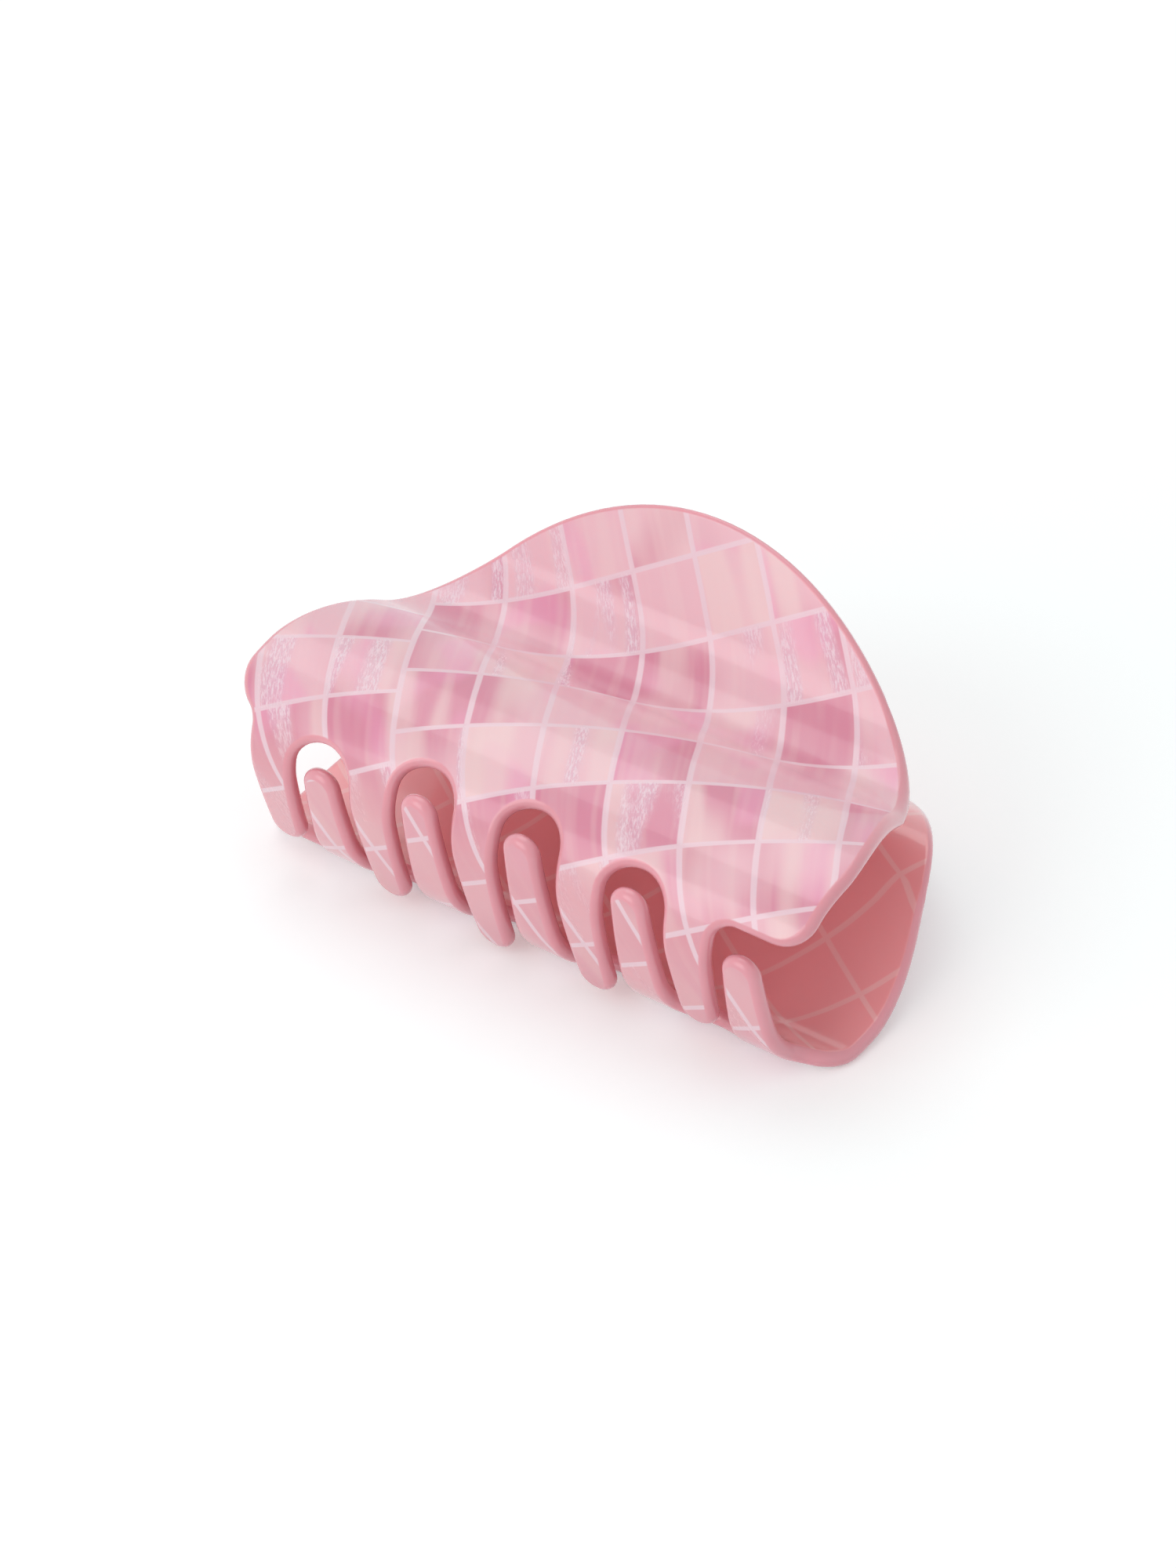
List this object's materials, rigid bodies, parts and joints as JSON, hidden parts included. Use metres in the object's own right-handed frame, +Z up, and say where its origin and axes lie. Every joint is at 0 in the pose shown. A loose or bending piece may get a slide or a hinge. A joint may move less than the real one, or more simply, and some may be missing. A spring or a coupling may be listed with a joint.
{
  "type": "claw clip",
  "caption": "Long hair claw clip: two bent acetate jaws with interlocking teeth, hinged at the waist on a pin with a torsion spring.",
  "frame": {"origin": "on the surface that the clip lies on, under the middle of its bounding box", "axes": "+X along the hinge pin towards its cap, +Y towards the handles, away from the teeth, +Z up; the clip lies on the belly and handle of its rear jaw"},
  "size_m": [0.1, 0.0618, 0.0465],
  "materials": {
    "tiled_acetate": "polished cellulose acetate laminate, pink pearl tiles parted by pale lines",
    "plain_acetate": "polished plain salmon pink acetate",
    "steel": "bright plated steel",
    "spring_wire": "drawn spring steel wire"
  },
  "bodies": {
    "rear": {"rear_jaw": "tiled_acetate", "rear_lug_left": "plain_acetate", "rear_lug_right": "plain_acetate", "hinge_pin": "steel", "pin_cap": "steel", "spring": "spring_wire"},
    "front": {"front_jaw": "tiled_acetate", "front_lug_left": "plain_acetate", "front_lug_right": "plain_acetate"}
  },
  "joints": [
    {"name": "jaw_hinge", "type": "hinge", "parent": "rear", "child": "front", "pos_m": [0, 0.00864, 0.0201], "axis": [-1, 0, 0], "range_deg": [0, 60], "stiffness_Nm_per_rad": 0.15, "springref_deg": -34.38, "deforming": ["spring"]}
  ]
}
